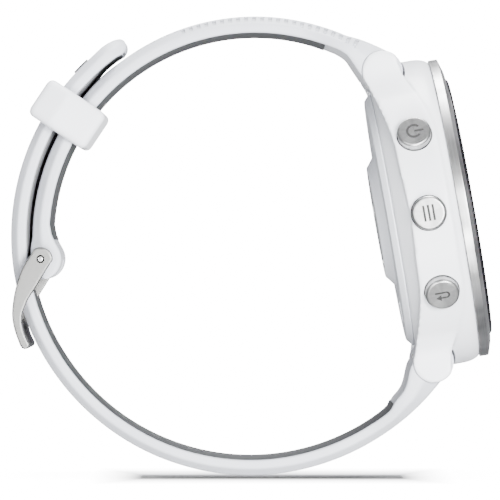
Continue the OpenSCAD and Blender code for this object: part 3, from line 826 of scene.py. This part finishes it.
holeStep = strap["pitch"] / strap["loop"] * 180 / pi
holes = [strap["slotAngle"] + holeStep * i for i in range(-5, 7) if i]


def tongueLean(lift):  # the tongue's place, lifted by an angle
    return pinSpot @ Matrix.Rotation(radians(strap["tongue"] + lift), 4, "Z")


def tongueRoom():  # the room that the tongue sweeps in the lower strap
    return [block((1.5, 0.2, -1.3), (13.5, 2.85, 1.3), tongueLean(lift)) for lift in (0, -4, -8)]


def tongueNotch(lift):  # the gap round the tongue's eye in the upper strap's end
    return block((-1, -3.2, -2.2), (5.8, 3.8, 2.2), tongueLean(lift))


upperStrap = combine(upperStrap, lugRoom(upperBar, 3.25, 10.85))
upperStrap = combine(upperStrap, rod(0.92, -20, 20, 40, Matrix.Translation((*upperBar, 0))))
upperStrap = combine(upperStrap, rod(0.64, -20, 20, 40, pinSpot))
for lift in (-10, 12):
    upperStrap = combine(upperStrap, tongueNotch(lift))
finishPiece("upperStrapHalf", shadePits(upperStrap), loopPlace, finishes["dimpledStrapPaintedShade"],
            stands=["upper_strap"], sharp=42)

lowerStrap = combine(lowerStrap, lugRoom(lowerBar, 3.25, 10.85))
lowerStrap = combine(lowerStrap, rod(0.92, -20, 20, 40, Matrix.Translation((*lowerBar, 0))))
lowerStrap = combine(lowerStrap, together(*[strapHole(angle) for angle in holes]))
for shape in tongueRoom():
    lowerStrap = combine(lowerStrap, shape)
finishPiece("lowerStrapHalf", lowerStrap, loopPlace, finishes["whiteStrapPaintedShade"],
            stands=["lower_strap"], sharp=42)

linerSection = [(0, 0.955), (0.5, 0.985), (1, 0.99), (1, -0.99), (0.5, -0.985), (0, -0.955)]


def liner(start, end, inner, half, thick=lambda angle: strap["liner"]):
    return sweep(linerSection, stopsBetween(start, end, 1.5, False, False),
                 lambda a: inner(a) - 0.01, lambda a: inner(a) - thick(a), half)


upperLiner = liner(68.5, 181, following(upperInner), upperHalf)
upperLiner = combine(upperLiner, tongueNotch(0))
finishPiece("upperStrapLining", upperLiner, loopPlace, finishes["greyLiner"],
            stands=["upper_strap_liner"])
lowerLiner = liner(124.4, 310.5, following(lowerInner),
                   lambda a: lowerHalf(a) - 1.2 * smoothStep((215 - a) / 12),
                   lambda a: (strap["liner"] + 0.32 * smoothStep((186 - a) / 5))
                   * (0.15 + 0.85 * smoothStep((a - 130) / 7)))
lowerLiner = combine(lowerLiner, together(*[strapHole(angle) for angle in holes]))
for shape in tongueRoom():
    lowerLiner = combine(lowerLiner, shape)
finishPiece("lowerStrapLining", lowerLiner, loopPlace, finishes["greyLiner"],
            stands=["lower_strap_liner"])
plateStops = stopsBetween(strap["plateFrom"], strap["plateTo"], 0.6, False, False)
plate = sweep(linerSection, plateStops, lambda a: strap["loop"] + 0.3,
              lambda a: strap["loop"] - 0.2, lambda a: 7)
finishPiece("tailPlate", plate, loopPlace, finishes["blackRubber"],
            stands=["tail_plate"])
print("straps done")

# ---- keeper ----
keeper = {"angle": 146.3, "low": 28.75, "high": 39.4, "half": 13, "length": 6.6,
          "slantStart": 35.6, "slantHalf": 11.5, "edge": 0.95, "voxel": 0.2, "smoothing": 8,
          "window": (30.4, 37.7, 11.35)}
keeperSide = [(keeper["low"], keeper["half"]), (keeper["slantStart"], keeper["half"]),
              (keeper["high"], keeper["slantHalf"])]
loopKeeper = slab(keeperSide + [(x, -y) for x, y in reversed(keeperSide)],
                  -keeper["length"] / 2, keeper["length"] / 2)
soften(loopKeeper, keeper["edge"], 4)
loopKeeper = applied(loopKeeper, "REMESH", mode="VOXEL", voxel_size=keeper["voxel"])
smoothed(loopKeeper, keeper["smoothing"])
low, high, half = keeper["window"]
window = eased([(low, -half), (high, -half), (high, half), (low, half)], 1.0, 4)
loopKeeper = combine(loopKeeper, slab(window, -10, 10))
keeperPlace = (loopPlace @ Matrix.Rotation(radians(keeper["angle"]), 4, "Z")
               @ Matrix.Rotation(pi / 2, 4, "X"))
finishPiece("strapKeeper", loopKeeper, keeperPlace, finishes["whiteLoop"],
            "keeper_loop", ["keeper"])

# ---- buckle ----
buckle = {"inner": 11.2, "outer": 13, "eye": 1.85, "edge": 0.38, "pin": 0.48}
armOutside = flowing([(-33.65, -2.35), (-35.0, -4.5), (-35.7, -6.1), (-36.3, -8), (-36.65, -9.7),
                      (-36.85, -11.4), (-36.85, -12.6), (-36.65, -13.9), (-36.25, -15.3),
                      (-35.65, -16.9)], 3)
armInside = flowing([(-34.1, -16.95), (-34.65, -15.9), (-35.1, -14.7), (-35.35, -13.5),
                     (-35.3, -12.2), (-34.95, -11.1), (-34.35, -9.7), (-33.3, -8.1),
                     (-32.1, -6.1), (-31.1, -4.5)], 3)
armOutline = (armOutside + [(-35.35, -17.45), (-34.55, -17.6)] + armInside
              + roundArc((pinX, pinY), buckle["eye"], -4, 128, 16))


def arm(side):
    near, far = sorted((side * buckle["inner"], side * buckle["outer"]))
    return slab(armOutline, near, far)


barOutline = flowing([(-36.7, -13.5), (-36.3, -15.2), (-35.65, -16.9)], 3) + [
    (-35.35, -17.45), (-34.55, -17.6)] + flowing(
    [(-34.1, -16.95), (-34.65, -15.9), (-35.1, -14.7), (-35.38, -13.5)], 3)
crossbar = slab(barOutline, -11.5, 11.5)
buckleFrame = combine(combine(arm(1), crossbar, "UNION"), arm(-1), "UNION")
bmesh.ops.dissolve_limit(buckleFrame, angle_limit=radians(1), verts=buckleFrame.verts,
                         edges=buckleFrame.edges)
soften(buckleFrame, buckle["edge"], 2, lambda edge: abs(edge.verts[0].co.z) > buckle["outer"] - 0.1
       and abs(edge.verts[1].co.z) > buckle["outer"] - 0.1)
buckleFrame = combine(buckleFrame, rod(buckle["pin"] + 0.15, -20, 20, 40, pinSpot))
buckleFrame = combine(buckleFrame, block((9, -1, -1.3), (14, 2.8, 1.3), tongueLean(0)))
finishPiece("buckleArms", buckleFrame, loopPlace, finishes["buckleMetal"],
            "buckle", ["buckle_frame"], sharp=32)
tongueOutline = ([(0.6, -1.0)] + flowing([(2.2, 0.5), (5.5, 0.48), (8.8, 0.5), (10.4, 1.1),
                                          (11.2, 1.6), (11.65, 2.1)], 3)
                 + [(11.6, 2.4), (11, 2.58), (6, 2.55), (1.4, 2.5), (-0.6, 1.2)])
tongue = soften(slab(tongueOutline, -1, 1), 0.22, 2, lambda edge: abs(
    edge.verts[0].co.z - edge.verts[1].co.z) < 0.01)
tongue = moved(tongue, Matrix.Rotation(radians(strap["tongue"]), 4, "Z"))
eye = soften(rod(1.4, -1.9, 1.9, 48), 0.2, 2)
tongue = combine(combine(tongue, eye, "UNION"), rod(buckle["pin"] + 0.05, -5, 5, 40))
finishPiece("buckleTongue", moved(tongue, pinSpot), loopPlace, finishes["buckleMetal"],
            "tongue", ["buckle_tongue"], sharp=32)
pinProfile = [(0, -12.98)] + eased([(0.36, -12.98), (0.48, -12.86), (0.48, 12.86),
                                    (0.36, 12.98)], 0.05, 2) + [(0, 12.98)]
pinRod = moved(turned(pinProfile, 40, False), pinSpot)
finishPiece("bucklePin", pinRod, loopPlace, finishes["steel"], stands=["buckle_pin"])
print("keeper and buckle done")

# ---- CAD nodes that stay, with a finish each ----
keptNodes = {
    "blackRubber": ["lens_gasket", "back_gasket", "button_seals"],
    "displayBlack": ["display_panel"],
    "amberFlex": ["display_flex"],
    "chassisPlastic": ["chassis", "button_switches"],
    "board": ["main_board", "sensor_board"],
    "chipBlack": ["board_chips"],
    "gold": ["gps_antenna", "charging_contacts", "sensor_lights"],
    "foil": ["battery"],
    "steel": ["vibration_motor", "back_screws", "upper_spring_bar", "lower_spring_bar",
              "upper_release_pin", "lower_release_pin"]
             + [key + "_button_clip" for key in case["buttonAngles"]],
}
for key, names in keptNodes.items():
    for name in names:
        data = frame["nodes"][name].data
        data.materials.clear()
        data.materials.append(finishes[key])

# ---- studio ----
studio = {"distance": 0.95, "lens": 435.7, "height": 0.03503, "world": 0.5, "target": 0.035}
# where the floor's glow is withheld, and the place and size of the painted contact shadow in its
# colour
shadow = {"x": 3, "y": -16.5, "rear": -8, "front": -22, "half": 20, "width": 27, "depth": 11}
floorLine = [(-1.2, 0), (0.5, 0)] + [(0.5 + 0.5 * sin(radians(10 * k)),
                                      0.5 - 0.5 * cos(radians(10 * k)))
                                     for k in range(1, 10)] + [(1.0, 1.4)]
bm = bmesh.new()
line = [bm.verts.new((-1.5, y, z)) for y, z in floorLine]
edges = [bm.edges.new(pair) for pair in zip(line, line[1:])]
wide = bmesh.ops.extrude_edge_only(bm, edges=edges)["geom"]
bmesh.ops.translate(bm, vec=(3, 0, 0), verts=[v for v in wide if isinstance(v, bmesh.types.BMVert)])
bmesh.ops.recalc_face_normals(bm, faces=bm.faces)
for face in bm.faces:
    face.smooth = True
floor = asObject(bm, "studioFloor")
floorFinish = Finish("paleFloor", Base_Color=(0.94, 0.94, 0.94), Roughness=0.9,
                     Specular_IOR_Level=0.1, Emission_Strength=14)
# The floor glows everywhere but under the watch, so only the lamps light it there and that dimmer
# patch stands in for a soft shadow; there its colour is also darkened by a painted contact shadow
x, y, z = floorFinish.parts(floorFinish.where())
rearwards, forwards = (y - shadow["rear"]) / 34, (shadow["front"] - y) / 24
sideways = (abs(x - shadow["x"]) - shadow["half"]) / 8
away = rearwards.larger(forwards).larger(sideways).larger(0.0).smaller(1.0)
# painted contact shadow: the floor's colour turns dark in a patch just in front of the strap
shade = 1.0 - (((y - shadow["y"]) / shadow["depth"]) ** 2.0
               + ((x - shadow["x"]) / shadow["width"]) ** 4.0).smaller(1.0)
floorFinish.set(Emission_Color=floorFinish.blend(away, (0, 0, 0), (1, 1, 1)),
                Base_Color=floorFinish.blend(shade ** 0.7, (0.94, 0.94, 0.94), (0.1, 0.1, 0.1)))
floor.data.materials.append(floorFinish.material)
floor.visible_diffuse = False  # its glow isn't meant to light the watch
floor.visible_glossy = False
floor.visible_shadow = False

world = bpy.data.worlds.new("studioWorld")
world.use_nodes = True
background = world.node_tree.nodes["Background"]
background.inputs["Color"].default_value = (0.92, 0.95, 1, 1)
background.inputs["Strength"].default_value = studio["world"]
bpy.context.scene.world = world


def softLight(name, place, size, power):
    data = bpy.data.lights.new(name, "AREA")
    data.size = size
    data.energy = power
    lamp = bpy.data.objects.new(name, data)
    lamp.location = place
    aim = Vector((0, 0, studio["target"])) - Vector(place)
    lamp.rotation_euler = aim.to_track_quat("-Z", "Y").to_euler()
    bpy.context.scene.collection.objects.link(lamp)


softLight("topLight", (0, 0.2, 0.9), 0.4, 22)
softLight("rightLight", (0.38, -0.92, 0.12), 0.35, 32)
softLight("leftLight", (-0.5, -0.95, 0.05), 0.4, 9)
softLight("lowLight", (0.1, -0.9, -0.45), 0.4, 16)

cameraData = bpy.data.cameras.new("studioCamera")
cameraData.lens = studio["lens"]
cameraData.sensor_width = 36
cameraData.clip_start = 0.05
cameraData.clip_end = 20
camera = bpy.data.objects.new("studioCamera", cameraData)
camera.location = (loopCentre.x, loopCentre.y - studio["distance"], studio["height"])
camera.rotation_euler = (pi / 2, 0, 0)
bpy.context.scene.collection.objects.link(camera)
bpy.context.scene.camera = camera
print("studio done")
